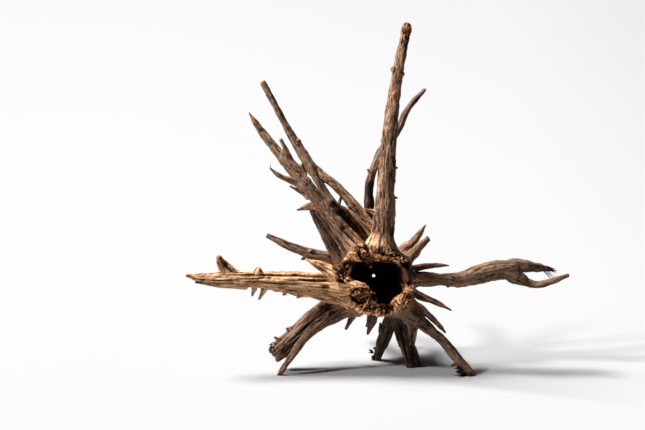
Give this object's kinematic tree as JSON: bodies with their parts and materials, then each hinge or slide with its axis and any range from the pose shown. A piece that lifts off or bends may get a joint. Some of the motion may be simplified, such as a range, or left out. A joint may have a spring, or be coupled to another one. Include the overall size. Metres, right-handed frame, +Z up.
{
  "type": "aquarium root stump",
  "caption": "Driftwood root stump on its side: a hollow, broken trunk foot with crooked roots spreading all round, standing on its lowest roots.",
  "frame": {"origin": "on the floor, at the middle of the object's length and depth", "axes": "+Z up, +X along the longest extent towards the forked right root, +Y from the broken mouth to the back"},
  "size_m": [0.4511, 0.1946, 0.4092],
  "materials": {
    "weathered_root": "dry grey-brown wood without bark, with a fine lengthwise grain, cracks and small pits",
    "bare_wood": "golden stripped wood in long ridges, with dark grooves between them",
    "dark_root": "dark brown weathered wood, rough and fibrous",
    "hub_wood": "pale tan wood outside, and orange-brown decayed crumbly wood round the mouth and inside it"
  },
  "bodies": {
    "root": {"stump_hub": "hub_wood", "tall_root": "weathered_root", "upper_left_root": "weathered_root", "left_root": "bare_wood", "right_root": "weathered_root", "right_root_upper_fork": "weathered_root", "right_root_lower_fork": "weathered_root", "thick_lower_root": "weathered_root", "left_leg": "weathered_root", "right_leg": "weathered_root", "right_leg_stub": "weathered_root", "middle_leg": "dark_root", "rear_left_leg": "dark_root", "rear_leg": "dark_root", "shoulder_root": "weathered_root", "rim_splinter": "bare_wood", "inner_strand": "weathered_root", "outer_strand": "weathered_root", "side_twig": "weathered_root", "flaked_prong": "weathered_root", "long_upper_root": "weathered_root", "upper_right_branch": "weathered_root", "upper_left_branch": "weathered_root", "tangle_root": "dark_root", "pale_twig": "bare_wood", "slim_back_root": "dark_root", "upper_right_stub": "weathered_root", "upper_right_spur": "dark_root", "right_twig": "weathered_root", "lower_right_spur_upper": "dark_root", "lower_right_spur_lower": "dark_root", "bottom_spur_left": "dark_root", "bottom_spur_middle": "dark_root", "back_root": "weathered_root", "back_stub_left": "weathered_root", "back_stub_right": "weathered_root"}
  },
  "joints": []
}
